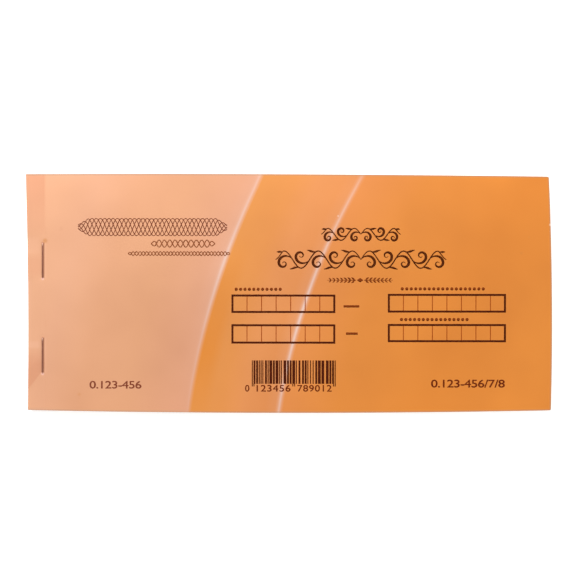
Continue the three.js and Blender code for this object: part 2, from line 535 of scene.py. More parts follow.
# Heights, and how far each reaches over the card
PUCKER, PUCKER_REACH = 0.10, 1.8
PINCH, PINCH_PLACE, PINCH_REACH = 0.07, 0.7, 0.3
GROOVE, GROOVE_REACH = 0.05, 0.3
CARD_LIFT, SEAT_REACH = 0.04, 0.6
WAVE, WAVE_START, WAVE_END = 0.10, 1.5, 20
# A crown's press grows from outside its end to inside it
PRESS_OUTSIDE, PRESS_INSIDE = 0.9, 0.1
# The curl of the strip's outer edge, up the page. Its lower end runs out along a slanting crease.
CURL_START, CURL_REACH, CURL_MOST = 0.4, 5.0, 1.2
CORNER_SLANT, SLANT_START, SLANT_END = 1.19, 18, 26
CURL_PLACES = [-45, -31.2, -29.7, -23, -21, -14, 4.5, 6.5, 14.5, 16.5, 20.5, 23.5, 45]
CURL_HEIGHTS = [0.05, 0.02, 0.22, 0.22, 0.05, 0.03, 0.03, 0.24, 0.24, 0.02, 0.02, 0.26, 0.30]


def under_crowns(y):
    """1 where a staple's crown presses on the card, falling to 0 past its bends."""
    pressed = np.zeros_like(y)
    for low, high in crown_spans:
        from_below = smooth(y, low - PRESS_OUTSIDE, low + PRESS_INSIDE)
        from_above = 1 - smooth(y, high - PRESS_INSIDE, high + PRESS_OUTSIDE)
        pressed = np.maximum(pressed, from_below * from_above)
    return pressed


def bump(distance, reach):
    """1 at no distance, falling off like a bell over its reach."""
    return np.exp(-((distance / reach) ** 2))


def cover_height(x, y):
    """The printed face's height in millimetres at x and y."""
    x, y = np.asarray(x, float), np.asarray(y, float)
    pressed = under_crowns(y)
    from_wire = np.abs(x - STAPLE_X)
    pucker = PUCKER * (1 - pressed) * bump(from_wire, PUCKER_REACH)
    pinch = PINCH * pressed * bump(from_wire - PINCH_PLACE, PINCH_REACH)
    slanted = y - CORNER_SLANT * (x - STAPLE_X) * smooth(-y, SLANT_START, SLANT_END)
    outward = np.clip((STAPLE_X - CURL_START - x) / CURL_REACH, 0, CURL_MOST)
    curl = np.interp(slanted, CURL_PLACES, CURL_HEIGHTS) * outward
    lift = CARD_LIFT * (1 - pressed * bump(from_wire, SEAT_REACH))
    groove = GROOVE * bump(x - CREASE, GROOVE_REACH)
    wave = 0.5 + 0.3 * np.sin(x / 19 + y / 31 + 0.6) + 0.2 * np.sin(x / 11 - y / 17)
    on_leaf = smooth(x, CREASE + WAVE_START, CREASE + WAVE_END)
    return FACE + lift + rise(x) + pucker + pinch + curl - groove + WAVE * wave * on_leaf


# %% [markdown]
# A crease needs close grid lines and plain card doesn't, so the grid's columns stand a tenth of a
# millimetre apart where the cover folds and 2 mm apart over the page. The card's wall grows downwards from
# the printed face, and its underside and cut edges take a second material, because only the face is coated.
# In the book, the strip stays under the staples and the leaf opens about the crease.

# %% Model the cover
FOLD_REACH = 0.5
CORNER_WEAR = 0.8
RIM = 1.0
fold_start, fold_end = CREASE - FOLD_REACH, CREASE + FOLD_REACH

cover_columns = grid_lines(
    LEFT,
    (STAPLE_X - 1.2, 0.4),
    (fold_start, 0.4),
    (fold_end, 0.1),
    (PERFORATION + 2, 0.5),
    (RIGHT - RIM, 2.0),
    (RIGHT, 0.2),
)
cover_rows = grid_lines(BOTTOM, (BOTTOM + RIM, 0.2), (TOP - RIM, 0.75), (TOP, 0.2))
cover = ruled_grid("printed_cover", cover_columns, cover_rows)

page_map = cover.data.uv_layers.active
page_map.name = "page"
corners = np.empty(len(cover.data.loops), np.int32)
cover.data.loops.foreach_get("vertex_index", corners)
flat = spots_of(cover)[corners]
on_page = np.column_stack([(flat[:, 0] - LEFT) / (RIGHT - LEFT), (flat[:, 1] - BOTTOM) / (TOP - BOTTOM)])
page_map.data.foreach_set("uv", on_page.astype(np.float32).ravel())

# Thumbs have rounded the two corners that open first
spots = spots_of(cover)
from_corner_x = spots[:, 0] - (RIGHT - CORNER_WEAR)
from_corner_y = np.abs(spots[:, 1]) - (TOP - CORNER_WEAR)
at_corner = (from_corner_x > 0) & (from_corner_y > 0)
offset = np.column_stack([from_corner_x, from_corner_y])[at_corner]
rounded = offset * (offset.max(1) / np.linalg.norm(offset, axis=1))[:, None]
spots[at_corner, 0] += rounded[:, 0] - offset[:, 0]
spots[at_corner, 1] += (rounded[:, 1] - offset[:, 1]) * np.sign(spots[at_corner, 1])

spots[:, 2] = cover_height(spots[:, 0], spots[:, 1])
put_spots(cover, spots)
print("cover:", len(cover.data.polygons), "faces before its wall")

# %% [markdown]
# ### The print on the card
#
# Offset print on satin coated card, which gives clean colour with a soft gloss. The ground runs from peach
# at the bound edge to orange at the free edge in wide rings about one far centre, with a pale line where a
# ring ends. The rings are plain geometry: the colour depends only on the distance to that centre. The
# pattern is read from the page's own map, so it stays on the card when the cover opens.

# %% Satin coated card with its ground print
RING_CENTRE = (253.0, -86.0, 0.0)
OUTER_RING, INNER_RING = 294.0, 259.7
RING_FAR, RING_NEAR = 372.0, 172.0

printed_card, tree, surface = new_material("printed_satin_card")
page = add_node(tree, "UVMap", uv_map="page")
size = (RIGHT - LEFT, TOP - BOTTOM, 1)
on_card = add_node(
    tree, "Mapping", {"Vector": page.outputs[0], "Location": (LEFT, BOTTOM, 0), "Scale": size}
).outputs[0]
card_axes = add_node(tree, "SeparateXYZ", {"Vector": on_card})
card_x, card_y = card_axes.outputs["X"], card_axes.outputs["Y"]
ring = add_node(tree, "VectorMath", {0: on_card, 1: RING_CENTRE}, operation="DISTANCE")
along_rings = add_node(
    tree, "MapRange", {"Value": ring.outputs["Value"], "From Min": RING_FAR, "From Max": RING_NEAR}
)
up_page = add_node(tree, "MapRange", {"Value": card_y, "From Min": BOTTOM, "From Max": TOP})


def ring_ramp(*stops):
    """Colours by their distance in millimetres from the rings' centre, the farthest first."""
    places = [((RING_FAR - radius) / (RING_FAR - RING_NEAR), shade) for radius, shade in stops]
    return add_node(tree, "ValToRGB", {"Fac": along_rings.outputs[0]}, stops=places).outputs["Color"]


def page_ramp(*stops):
    """Greys by their height on the page, from 0 at its bottom to 1 at its top."""
    return add_node(tree, "ValToRGB", {"Fac": up_page.outputs[0]}, stops=stops).outputs["Color"]


def print_over(below, shade, *masks, blend_type="MIX"):
    """Lay a colour over what is there, as far as all the masks together let it through."""
    amount = masks[0]
    for mask in masks[1:]:
        amount = add_node(tree, "Math", {0: amount, 1: mask}, operation="MULTIPLY").outputs[0]
    inputs = {"Factor": amount, "A": below, "B": shade}
    return add_node(tree, "Mix", inputs, data_type="RGBA", blend_type=blend_type).outputs["Result"]


# %% The ground colours and the rings' pale lines
ground = ring_ramp(
    (362, "F2B48C"),
    (350, "EDAF89"),
    (335, "E9A97F"),
    (318, "E8A87D"),
    (OUTER_RING + 8, "E5A47E"),
    (OUTER_RING + 0.4, "E6A480"),
    (OUTER_RING - 0.4, "E8974A"),
    (282, "E8954B"),
    (274, "E99655"),
    (INNER_RING + 0.4, "E79250"),
    (INNER_RING - 0.4, "E99149"),
    (238, "E68D38"),
    (205, "E78B32"),
    (176, "EA8E35"),
)
outer_line = ring_ramp(
    (OUTER_RING + 15, "000000"),
    (OUTER_RING + 6, "343434"),
    (OUTER_RING + 1.6, "686868"),
    (OUTER_RING + 0.5, "F0F0F0"),
    (OUTER_RING, "B0B0B0"),
    (OUTER_RING - 0.4, "000000"),
)
inner_line = ring_ramp(
    (INNER_RING + 6, "000000"),
    (INNER_RING + 1.6, "505050"),
    (INNER_RING + 0.4, "FFFFFF"),
    (INNER_RING, "D0D0D0"),
    (INNER_RING - 0.3, "000000"),
)
deep_band = ring_ramp(
    (OUTER_RING + 0.5, "000000"),
    (OUTER_RING - 0.5, "D0D0D0"),
    (OUTER_RING - 5, "C0C0C0"),
    (OUTER_RING - 8.5, "303030"),
    (OUTER_RING - 13, "000000"),
)
outer_fade = page_ramp((0.0, "606060"), (0.3, "A0A0A0"), (0.62, "F0F0F0"), (1.0, "B0B0B0"))
inner_fade = page_ramp((0.0, "D0D0D0"), (0.45, "FFFFFF"), (1.0, "A0A0A0"))
deep_fade = page_ramp((0.0, "909090"), (0.25, "FFFFFF"), (0.55, "D0D0D0"), (0.75, "202020"), (1.0, "101010"))
PALE_LINE = colour("F3D9CF")
printed = print_over(ground, colour("E98A1C"), deep_band, deep_fade)
printed = print_over(printed, PALE_LINE, outer_line, outer_fade)
printed = print_over(printed, PALE_LINE, inner_line, inner_fade)

# %% [markdown]
# ### What handling and the press leave on the card, with painted light and shade
#
# Even a new cover isn't even. The ink lies in clouds a few centimetres wide, and painted light makes the
# page brightest at its top and darkest across its middle. The strip beyond the crease bends in facets, which
# carry painted shade that makes them a little redder, and painted highlights along its outer edge and in two
# patches. The cut edges carry a painted greyish tan shade. Each crown has a painted shadow along it in a
# rusty brown that also stands for a stain, a painted highlight on the card just past it, and a small torn
# spot at its lower end. Last come a few specks. All are faint, and each has its own size in millimetres.

# %% Clouds in the ink, and painted light down the page
INK_CLOUD = 34.0
clouds = add_node(tree, "TexNoise", {"Vector": on_card, "Scale": 1 / INK_CLOUD, "Detail": 2.0})
density = add_node(
    tree, "ValToRGB", {"Fac": clouds.outputs["Fac"]}, stops=[(0.32, "F5F2F0"), (0.68, "FFFFFF")]
)
printed = print_over(printed, density.outputs["Color"], 1.0, blend_type="MULTIPLY")
# Painted light: the print is a shade brighter at the top of the page and darkest across its middle, as the
# light falls off down the page
painted_falloff = page_ramp((0.0, "FAFAFA"), (0.18, "F4F4F4"), (0.5, "F2F2F2"), (0.8, "F7F7F7"), (1.0, "FFFFFF"))
printed = print_over(printed, painted_falloff, 1.0, blend_type="MULTIPLY")

# %% Painted shade on the strip's facets
# Where the strip's painted shade starts and is full across the page, and where the lowest facet's is up the
# page
STRIP_START, STRIP_FULL = CREASE + 0.3, CREASE - 0.5
LOWEST_START, LOWEST_FULL, LOWEST_MOST = -20.6, -27.0, 0.95
# Where that facet ends and where it is full, by the height that the slanting crease has at the staples
SLANT_EDGE, SLANT_FULL = -30.2, -29.4
left_of_crease = add_node(
    tree, "MapRange", {"Value": card_x, "From Min": STRIP_START, "From Max": STRIP_FULL}
).outputs[0]
# Painted shade: the strip's facets are darkened a little towards red, where they turn away from the light
facets = page_ramp(
    (0.555, "000000"),
    (0.59, "B4B4B4"),
    (0.64, "A8A8A8"),
    (0.672, "202020"),
    (0.74, "000000"),
    (0.78, "A0A0A0"),
    (0.97, "FFFFFF"),
)
# The lowest facet ends at the slanting crease, where the strip's curl runs out too
from_staples = add_node(tree, "Math", {0: card_x, 1: STAPLE_X}, operation="SUBTRACT").outputs[0]
slanted = add_node(
    tree, "Math", {0: from_staples, 1: -CORNER_SLANT, 2: card_y}, operation="MULTIPLY_ADD"
).outputs[0]
above_slant = add_node(
    tree, "MapRange", {"Value": slanted, "From Min": SLANT_EDGE, "From Max": SLANT_FULL}
)
limits = {"Value": card_y, "From Min": LOWEST_START, "From Max": LOWEST_FULL, "To Max": LOWEST_MOST}
below_middle = add_node(tree, "MapRange", limits)
lowest = add_node(
    tree, "Math", {0: above_slant.outputs[0], 1: below_middle.outputs[0]}, operation="MULTIPLY"
)
painted_facet_shade = add_node(tree, "Math", {0: facets, 1: lowest.outputs[0]}, operation="MAXIMUM").outputs[0]
printed = print_over(printed, colour("F7ECE9"), left_of_crease, painted_facet_shade, blend_type="MULTIPLY")

# %% Painted shade at the cut edges
# Where the painted shade starts and where it is full, as a distance past the edge, and how strong it is
RIM_START, RIM_FULL, RIM_SHADE = -0.7, -0.2, 0.5
# How far a place is past the nearest edge is less than nought all over the page
past_side = add_node(tree, "Math", {0: card_x, 1: RIGHT}, operation="SUBTRACT").outputs[0]
from_middle = add_node(tree, "Math", {0: card_y}, operation="ABSOLUTE").outputs[0]
past_end = add_node(tree, "Math", {0: from_middle, 1: TOP}, operation="SUBTRACT").outputs[0]
past_edge = add_node(tree, "Math", {0: past_side, 1: past_end}, operation="MAXIMUM").outputs[0]
limits = {"Value": past_edge, "From Min": RIM_START, "From Max": RIM_FULL, "To Max": RIM_SHADE}
edge_shade = add_node(tree, "MapRange", limits).outputs[0]
# Painted shade: a greyish tan laid along the cut edges of the page
printed = print_over(printed, colour("AE8C76"), edge_shade)

# %% Painted highlights along the strip's outer edge
EDGE_HIGHLIGHT_REACH = 1.6
at_bound_edge = add_node(
    tree, "MapRange", {"Value": card_x, "From Min": LEFT + EDGE_HIGHLIGHT_REACH, "From Max": LEFT}
).outputs[0]
# Painted highlights: the facets of the curled outer edge are lighter and pinker in bands up the page
edge_facet_highlights = page_ramp(
    (0.0, "484848"),
    (0.17, "080808"),
    (0.3, "606060"),
    (0.55, "707070"),
    (0.63, "202020"),
    (0.71, "606060"),
    (0.78, "101010"),
    (1.0, "080808"),
)
printed = print_over(printed, colour("F4BEAA"), at_bound_edge, edge_facet_highlights)

# A painted highlight lies on a patch at each staple's upper end
patch_highlights = page_ramp(
    (0.262, "000000"),
    (0.272, "606060"),
    (0.288, "606060"),
    (0.30, "000000"),
    (0.665, "000000"),
    (0.685, "484848"),
    (0.725, "484848"),
    (0.745, "000000"),
)
PATCH_START, PATCH_FULL = STAPLE_X - 0.5, STAPLE_X - 2.0
outside_wire = add_node(
    tree, "MapRange", {"Value": card_x, "From Min": PATCH_START, "From Max": PATCH_FULL}
).outputs[0]
printed = print_over(printed, colour("FBC9B4"), left_of_crease, patch_highlights, outside_wire)


# %% Painted shadow, stain and highlight beside the wire
def near_line(tree, value, line, reach, core, most=1.0):
    """A mask about a line: it starts at the reach and is full from the core inwards."""
    offset = add_node(tree, "Math", {0: value, 1: line}, operation="SUBTRACT")
    distance = add_node(tree, "Math", {0: offset.outputs[0]}, operation="ABSOLUTE")
    limits = {"Value": distance.outputs[0], "From Min": reach, "From Max": core, "To Max": most}
    return add_node(tree, "MapRange", limits).outputs[0]


# Beside each crown: a painted shadow in a rusty brown that also stands for a stain, and a painted highlight
# on the card just past it
SHADOW_STAIN_X, SHADOW_STAIN_REACH, SHADOW_STAIN_CORE, SHADOW_STAIN_STRENGTH = STAPLE_X + 0.22, 0.60, 0.40, 0.75
RIDGE_LIGHT_X, RIDGE_LIGHT_REACH, RIDGE_LIGHT_CORE, RIDGE_LIGHT_STRENGTH = STAPLE_X + 1.15, 0.40, 0.15, 0.14
wire_shadow_and_stain = near_line(tree, card_x, SHADOW_STAIN_X, SHADOW_STAIN_REACH, SHADOW_STAIN_CORE)
ridge_highlight = near_line(tree, card_x, RIDGE_LIGHT_X, RIDGE_LIGHT_REACH, RIDGE_LIGHT_CORE)
for low_y, high_y in crown_spans:
    half = (high_y - low_y) / 2
    along_crown = near_line(tree, card_y, (low_y + high_y) / 2, half + 0.1, half - 0.5)
    printed = print_over(printed, colour("A36C52"), wire_shadow_and_stain, along_crown, SHADOW_STAIN_STRENGTH)
    printed = print_over(printed, colour("FFC4A8"), ridge_highlight, along_crown, RIDGE_LIGHT_STRENGTH)

# %% Torn spots and specks
# Each one's place, how far it reaches, its colour and its strength
SPECKS = [
    ((STAPLE_X + 0.05, crown_spans[0][0] - 0.1, 0), 0.75, "F4C4B4", 0.75),
    ((STAPLE_X + 0.05, crown_spans[1][0] - 0.1, 0), 0.80, "F4C4B4", 0.75),
    ((RIGHT - 0.1, 26.2, 0), 0.65, "F6D4BC", 0.8),
    ((-93.2, 19.95, 0), 1.15, "CC8644", 0.62),
    ((-87.1, 24.5, 0), 1.1, "D99C78", 0.35),
    ((-80.1, -38.7, 0), 0.9, "D08A48", 0.30),
    ((18.7, 29.5, 0), 0.40, "F6E6DC", 0.45),
    ((88.7, 15.4, 0), 0.75, "CC7E36", 0.35),
    ((91.6, 21.5, 0), 0.5, "CE863C", 0.30),
]
# A speck is at its full strength within this share of its reach
SPECK_CORE = 0.3
for place, reach, shade, strength in SPECKS:
    away = add_node(tree, "VectorMath", {0: on_card, 1: place}, operation="DISTANCE").outputs["Value"]
    limits = {"Value": away, "From Min": reach, "From Max": reach * SPECK_CORE, "To Max": strength}
    printed = print_over(printed, colour(shade), add_node(tree, "MapRange", limits).outputs[0])

# %% Satin coating
SURFACE_GRAIN = 0.9
grain = add_node(tree, "TexNoise", {"Vector": on_card, "Scale": 1 / SURFACE_GRAIN, "Detail": 3.0})
gloss = add_node(tree, "MapRange", {"Value": grain.outputs["Fac"], "To Min": 0.38, "To Max": 0.5})
skin = add_node(
    tree, "Bump", {"Height": grain.outputs["Fac"], "Strength": 0.12, "Distance": GRAIN_DEPTH * MM}
)
tree.links.new(printed, surface.inputs["Base Color"])
tree.links.new(gloss.outputs[0], surface.inputs["Roughness"])
tree.links.new(skin.outputs["Normal"], surface.inputs["Normal"])
surface.inputs["Specular IOR Level"].default_value = 0.3

# %% Uncoated back of the card
card_back, tree, surface = new_material("uncoated_card_back")
back_tone = paper_tone(tree, own_millimetres(tree), "ECEBE7", "E8E7E2")
tree.links.new(back_tone, surface.inputs["Base Color"])
surface.inputs["Roughness"].default_value = 0.75

# %% Give the cover its wall
# Edges that turn by less than this many degrees are shaded smooth
SOFT_EDGE = 30

cover.data.materials.append(printed_card)
cover.data.materials.append(card_back)
thicken(cover, COVER_CARD, offset=-1, inner_slot=1)
bpy.ops.object.shade_smooth_by_angle(angle=math.radians(SOFT_EDGE))
trim(cover)
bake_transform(cover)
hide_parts("cover_leaf", "cover_strip")
print("cover:", len(cover.data.polygons), "faces")

# %% [markdown]
# ## What is printed in dark ink
#
# Besides its ground, the cover carries four boxes to write in, a bar block, plain figures and printer's
# ornaments: running scrolls with a laurel divider, a woven band with two chains, dotted leaders and dashes.
# Each print is a very thin closed film just above the card that follows its height, because a film keeps
# its edges sharp however close one looks, and it rides on the cover when that opens.
#
# Offset ink is matt and lies a little unevenly, as a rubber blanket leaves it. A broad line looks nearly
# black and a fine one takes on the warmth of the ground, so each weight of print has a brown of its own.

# %% Offset printing inks
INK_MOTTLE = 1.5


def offset_ink(name, thin, full):
    """Ink that varies between a thin and a full coat."""
    material, tree, surface = new_material(name)
    in_mm = own_millimetres(tree)
    coat = add_node(tree, "TexNoise", {"Vector": in_mm, "Scale": 1 / INK_MOTTLE, "Detail": 3.0})
    tone = add_node(tree, "ValToRGB", {"Fac": coat.outputs["Fac"]}, stops=[(0.3, full), (0.7, thin)])
    tree.links.new(tone.outputs["Color"], surface.inputs["Base Color"])
    surface.inputs["Roughness"].default_value = 0.6
    surface.inputs["Specular IOR Level"].default_value = 0.06
    return material


heading_ink = offset_ink("dark_brown_offset_ink", "602806", "4E1E02")
frame_ink = offset_ink("brown_black_offset_ink", "541E06", "421402")
figure_ink = offset_ink("deep_red_brown_offset_ink", "722A08", "601E02")
fine_ink = offset_ink("red_brown_offset_ink", "8C3E10", "7A3208")
line_ink = offset_ink("rust_brown_offset_ink", "A44A12", "943E0C")
band_ink = offset_ink("light_brown_offset_ink", "8A4A34", "7A3A26")
pale_ink = offset_ink("pale_brown_offset_ink", "A05C38", "92502E")

# %% Lay a print on the card
INK_FILM = 0.010
INK_CLEARANCE = 0.012


def lay_print(piece, ink=None):
    """Let a flat print follow the card, and move with the cover."""
    spots = spots_of(piece)
    spots[:, 2] += cover_height(spots[:, 0], spots[:, 1]) + INK_CLEARANCE
    put_spots(piece, spots)
    if ink:
        piece.data.materials.append(ink)
    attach(piece, "cover")


def join_pieces(first, *others):
    select_only(first, *others)
    if others:
        bpy.ops.object.join()
    return first


# %% [markdown]
# ### Boxes to write in
#
# Four boxes: a frame of three quarters of a millimetre, with finer and redder lines that part the cells.
# The grid's lines stand at the edges of these bars, so the open cells only need deleting.

# %% Rule the boxes
FRAME_LINE, CELL_LINE = 0.78, 0.32
# Each box's left, right, top and bottom, and how many cells it has
BOXES = {
    "first_number": (-22.0, 17.65, -0.5, -7.55, 7),
    "last_number": (-22.0, 17.65, -11.85, -19.25, 7),
    "first_date": (37.7, 82.8, -0.2, -7.35, 8),
    "last_date": (37.7, 82.8, -11.7, -18.65, 8),
}


def rule_box(name, left, right, top, bottom, cells):
    """A frame with upright lines between its cells."""
    pitch = (right - left - FRAME_LINE) / cells
    columns = [left, left + FRAME_LINE]
    for i in range(1, cells):
        line = left + FRAME_LINE / 2 + i * pitch
        columns += [line - CELL_LINE / 2, line + CELL_LINE / 2]
    columns += [right - FRAME_LINE, right]
    inner_rows = (bottom + FRAME_LINE, top - FRAME_LINE)
    box = ruled_grid(name, columns, [bottom, *inner_rows, top])

    def inside_frame(middle):
        between_sides = left + FRAME_LINE < middle[0] < right - FRAME_LINE
        return between_sides and inner_rows[0] < middle[1] < inner_rows[1]

    def on_cell_line(middle):
        from_line = (middle[0] - left - FRAME_LINE / 2 + pitch / 2) % pitch - pitch / 2
        return inside_frame(middle) and abs(from_line) < CELL_LINE / 2

    delete_faces(box, lambda middle: inside_frame(middle) and not on_cell_line(middle))
    for ink in (frame_ink, line_ink):
        box.data.materials.append(ink)
    for face in box.data.polygons:
        face.material_index = int(on_cell_line(face.center / MM))
    thicken(box, INK_FILM)
    return box


ruled_boxes = join_pieces(*[rule_box(name, *sides) for name, sides in BOXES.items()])
ruled_boxes.name = "ruled_boxes"
lay_print(ruled_boxes)
print("ruled boxes:", len(ruled_boxes.data.polygons), "faces")

# %% [markdown]
# ### Pen strokes
#
# The ornaments are drawn with a pen that swells in the middle of each stroke. A stroke is a line of points
# with a width at each, made as a curve whose bevel follows those widths, and pressed flat once it is a
# mesh. The pen walks: it goes forward and curls by so many degrees per millimetre, so a curl that tightens
# steadily draws the spiral end of a scroll.


# %% Draw with a pen
PEN_STEP = 0.35


def walk_pen(x, y, heading, stretches):
    """Points of a walk whose stretches give a length, and the curl in degrees per mm at its start and end."""
    heading = math.radians(heading)
    path = [(x, y)]
    for length, first, last in stretches:
        count = max(2, round(length / PEN_STEP))
        for i in range(count):
            curl = first + (last - first) * (i + 0.5) / count
            heading += math.radians(curl) * length / count
            x += math.cos(heading) * length / count
            y += math.sin(heading) * length / count
            path.append((x, y))
    return path


def sized(stretches, length, turn):
    """A walk's stretches, which are given as shares of a length and of a turn, at their real size."""
    return [(length * share, turn * first, turn * last) for share, first, last in stretches]


def swelling(path, thin, thick, power=1.2):
    """Pair a path with widths that swell from thin to thick and back."""
    last = len(path) - 1
    return path, [thin + (thick - thin) * math.sin(math.pi * i / last) ** power for i in range(last + 1)]


def draw_strokes(name, strokes):
    """All strokes as one flat mesh."""
    line = bpy.data.curves.new(name, "CURVE")
    line.dimensions = "3D"
    line.bevel_depth = MM / 2
    line.bevel_resolution = 0
    line.use_fill_caps = True
    for path, widths in strokes:
        spline = line.splines.new("POLY")
        spline.points.add(len(path) - 1)
        for point, (x, y), width in zip(spline.points, path, widths):
            point.co = (x * MM, y * MM, 0, 1)
            point.radius = width
    piece = bpy.data.objects.new(name, line)
    bpy.context.collection.objects.link(piece)
    select_only(piece)
    bpy.ops.object.convert(target="MESH")
    spots = spots_of(piece)
    spots[:, 2] = np.sign(np.round(spots[:, 2], 4)) * INK_FILM / 2
    put_spots(piece, spots)
    return piece


def mirrored(strokes, middle_x):
    """The same strokes and their mirror images about a line up the page."""
    images = [([(2 * middle_x - x, y) for x, y in path], widths) for path, widths in strokes]
    return strokes + images


# %% [markdown]
# ### Running scrolls and a laurel divider
#
# The running scroll is one of the oldest printer's ornaments: a waving stem with a curl in each wave and a
# leaf on each crest. A shorter one stands over a longer one. Below them a small lozenge parts two laurel
# twigs, whose leaves get shorter outwards.

# %% Running scrolls
SCROLL_MIDDLE = 27.4
# The stem's swing and the curls' radius, as shares of the scroll's height
STEM_SWING, SCROLL_RADIUS = 0.30, 0.26
# How fast the swing fades towards the ends, as a share of a wave, and the share of it that is left there
STEM_FADE, END_SWING = 0.6, 0.25
# The stem's widths as shares of the thin and the thick line, and the power of its swell
STEM_THIN, STEM_THICK, STEM_POWER = 1.4, 0.5, 0.35
# Each curl's stretches: length as a share of the wave, and how tight it is at its start and end
SCROLL_CURL = [(0.9, 0.8, 1.1), (0.75, 1.1, 2.2), (0.45, 2.4, 4.5)]
# A leaf's length and the last one's, as shares of the wave, and its width as a share of the thick line
LEAF, LAST_LEAF, LEAF_WIDTH = 0.35, 0.2, 0.8
# Where a leaf leaves the stem, as shares of the wave and of the swing, at which angle and in which curl
LEAF_X, LEAF_Y, LEAF_ANGLE = 0.62, 0.93, 20
LEAF_CURL = [(1, 26, 10), (0.6, 0, -20)]


def running_scroll(middle_y, half_length, waves, height, thin, thick):
    """A scroll, drawn from its middle to its right end and mirrored."""
    wave = half_length / waves
    swing = height * STEM_SWING
    count = round(half_length / PEN_STEP)
    stem = []
    for i in range(count + 1):
        x = half_length * i / count
        fade = min(1, (half_length - x) / (STEM_FADE * wave) + END_SWING)
        stem.append((SCROLL_MIDDLE + x, middle_y + swing * fade * math.sin(math.pi * x / wave)))
    strokes = [swelling(stem, thin * STEM_THIN, thick * STEM_THICK, STEM_POWER)]
    slope = math.degrees(math.atan(swing * math.pi / wave))
    turn = math.degrees(1 / (height * SCROLL_RADIUS))
    for k in range(waves):
        side = 1 if k % 2 == 0 else -1
        x = SCROLL_MIDDLE + k * wave
        curl = walk_pen(x, middle_y, side * slope, sized(SCROLL_CURL, wave, -side * turn))
        reach = wave * (LEAF if k < waves - 1 else LAST_LEAF)
        start = (x + wave * LEAF_X, middle_y + side * swing * LEAF_Y)
        leaf = walk_pen(*start, -side * LEAF_ANGLE, sized(LEAF_CURL, reach, side))
        strokes += [swelling(curl, thin, thick), swelling(leaf, thin, thick * LEAF_WIDTH)]
    return mirrored(strokes, SCROLL_MIDDLE)


upper_scroll = running_scroll(22.5, 15.2, 3, 7.6, 0.18, 0.95)
lower_scroll = running_scroll(12.85, 32.6, 5, 10.9, 0.20, 1.02)
heading_scrolls = draw_strokes("heading_scrolls", upper_scroll + lower_scroll)
lay_print(heading_scrolls, heading_ink)
print("heading scrolls:", len(heading_scrolls.data.polygons), "faces")

# %% Laurel divider
DIVIDER_MIDDLE, DIVIDER_Y = 27.1, 5.0
TWIG_START, FIRST_LEAVES = 1.6, 2.0
LEAF_PAIRS, LEAF_PITCH = 7, 1.5
# The stem's width, and by how much it gets less from point to point
TWIG_POINTS, TWIG_WIDTH, TWIG_TAPER = 7, 0.34, 0.03
# A laurel leaf's length and width, by how much each gets less from pair to pair, and its angle and curl
LAUREL_LENGTH, LENGTH_TAPER, LAUREL_WIDTH, WIDTH_TAPER = 1.75, 0.08, 0.66, 0.03
LAUREL_THIN, LAUREL_ANGLE, LAUREL_CURL = 0.12, 52, [(1, 10, 26)]
LOZENGE_TIP = 0.05


def lozenge(x, y, length, width):
    """A short stroke that swells straight to its middle."""
    path = [(x + length * t, y) for t in (-0.5, -0.25, 0, 0.25, 0.5)]
    return path, [LOZENGE_TIP, width / 2, width, width / 2, LOZENGE_TIP]


def laurel_twig():
    """A stem that thins outwards, with leaves in pairs."""
    length = FIRST_LEAVES + LEAF_PAIRS * LEAF_PITCH - TWIG_START
    start, last = DIVIDER_MIDDLE + TWIG_START, TWIG_POINTS - 1
    stem = [(start + length * i / last, DIVIDER_Y) for i in range(TWIG_POINTS)]
    strokes = [(stem, [TWIG_WIDTH - TWIG_TAPER * i for i in range(TWIG_POINTS)])]
    for i in range(LEAF_PAIRS):
        start = (DIVIDER_MIDDLE + FIRST_LEAVES + i * LEAF_PITCH, DIVIDER_Y)
        reach, width = LAUREL_LENGTH - LENGTH_TAPER * i, LAUREL_WIDTH - WIDTH_TAPER * i
        for side in (1, -1):
            leaf = walk_pen(*start, side * LAUREL_ANGLE, sized(LAUREL_CURL, reach, -side))
            strokes.append(swelling(leaf, LAUREL_THIN, width))
    return strokes


twigs = mirrored(laurel_twig(), DIVIDER_MIDDLE)
middle_lozenge = lozenge(DIVIDER_MIDDLE, DIVIDER_Y, 2.6, 1.7)
heading_divider = draw_strokes("heading_divider", [middle_lozenge] + twigs)
lay_print(heading_divider, fine_ink)

# %% [markdown]
# ### A woven band
#
# Forms for money carry woven line bands, because such fine even lines are hard to forge. The band is a
# bundle of waves, each a step further along than the last, and it narrows at both ends. Two lighter chains
# of two threads each stand below it.

# %% Woven band
THREAD_STEP = 0.4
# A band narrows within this share of a wave from its ends, down to this share of its height
END_REACH, END_HEIGHT = 0.5, 0.25


def weave(left, right, middle_y, height, threads, wave, width):
    """Waves in a bundle, evenly out of step."""
    strokes = []
    count = round((right - left) / THREAD_STEP)
    for k in range(threads):
        path = []
        for i in range(count + 1):
            x = left + (right - left) * i / count
            from_ends = min(1, (x - left) / (wave * END_REACH), (right - x) / (wave * END_REACH))
            share = from_ends * (1 - END_HEIGHT) + END_HEIGHT
            swing = math.sin(2 * math.pi * ((x - left) / wave + k / threads))
            path.append((x, middle_y + height / 2 * share * swing))
        strokes.append((path, [width] * len(path)))
    return strokes


woven_band = draw_strokes("woven_band", weave(-80.6, -23.7, 25.2, 6.6, 5, 8.13, 0.31))
lay_print(woven_band, band_ink)
upper_chain = weave(-52.7, -28.3, 18.9, 2.8, 2, 4.07, 0.40)
lower_chain = weave(-61.5, -22.6, 15.1, 1.6, 2, 2.6, 0.36)
lay_print(draw_strokes("lines_under_band", upper_chain + lower_chain), pale_ink)
print("woven band:", len(woven_band.data.polygons), "faces")

# %% [markdown]
# ### Leaders, dashes and the bar block
#
# Dotted leaders stand over three of the boxes, and a short dash beside each of the two on the left. The bar
# block is made of bars whose widths come from seeded dice, so that they mean nothing. Below it is a plain
# row of figures from nought upwards.

